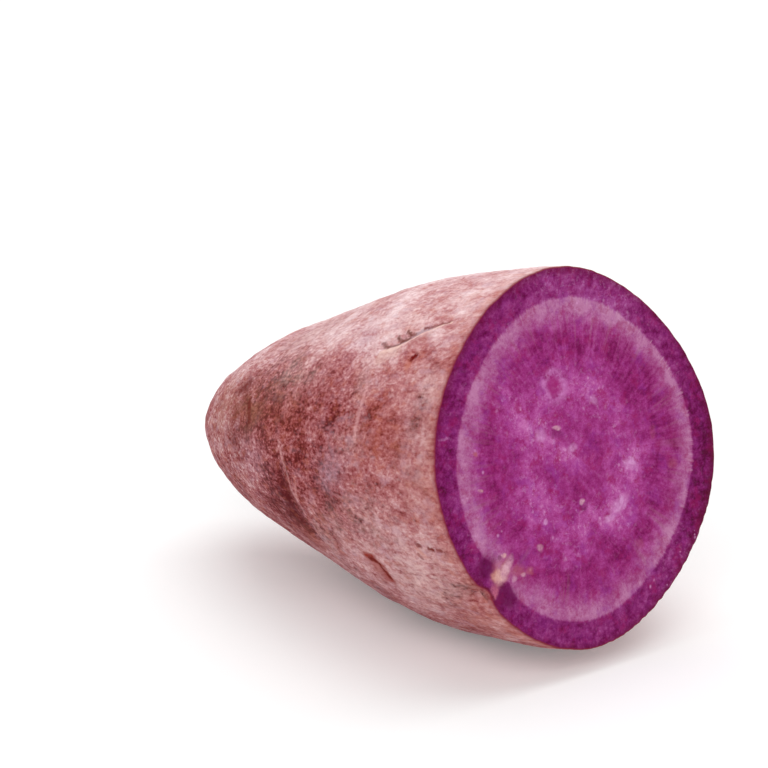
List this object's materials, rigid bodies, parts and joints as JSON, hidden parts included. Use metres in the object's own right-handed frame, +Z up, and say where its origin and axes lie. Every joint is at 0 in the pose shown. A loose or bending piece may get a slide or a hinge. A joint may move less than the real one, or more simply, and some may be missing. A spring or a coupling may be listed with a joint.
{
  "type": "purple sweet potato",
  "caption": "Half of a purple sweet potato lying on its belly, cut straight across its middle, narrowing to a blunt scarred end.",
  "frame": {"origin": "under the middle of the bounding box, on the level surface that the half rests on", "axes": "+X along the root towards the cut face, +Y across the root, +Z up; the scarred end points along -X"},
  "size_m": [0.0986, 0.0632, 0.0672],
  "materials": {
    "root": "dry dusty rose-brown skin on the outside, moist violet flesh with a pale ring on the cut face"
  },
  "bodies": {
    "root": {"sweet_potato_half": "root"}
  },
  "joints": []
}
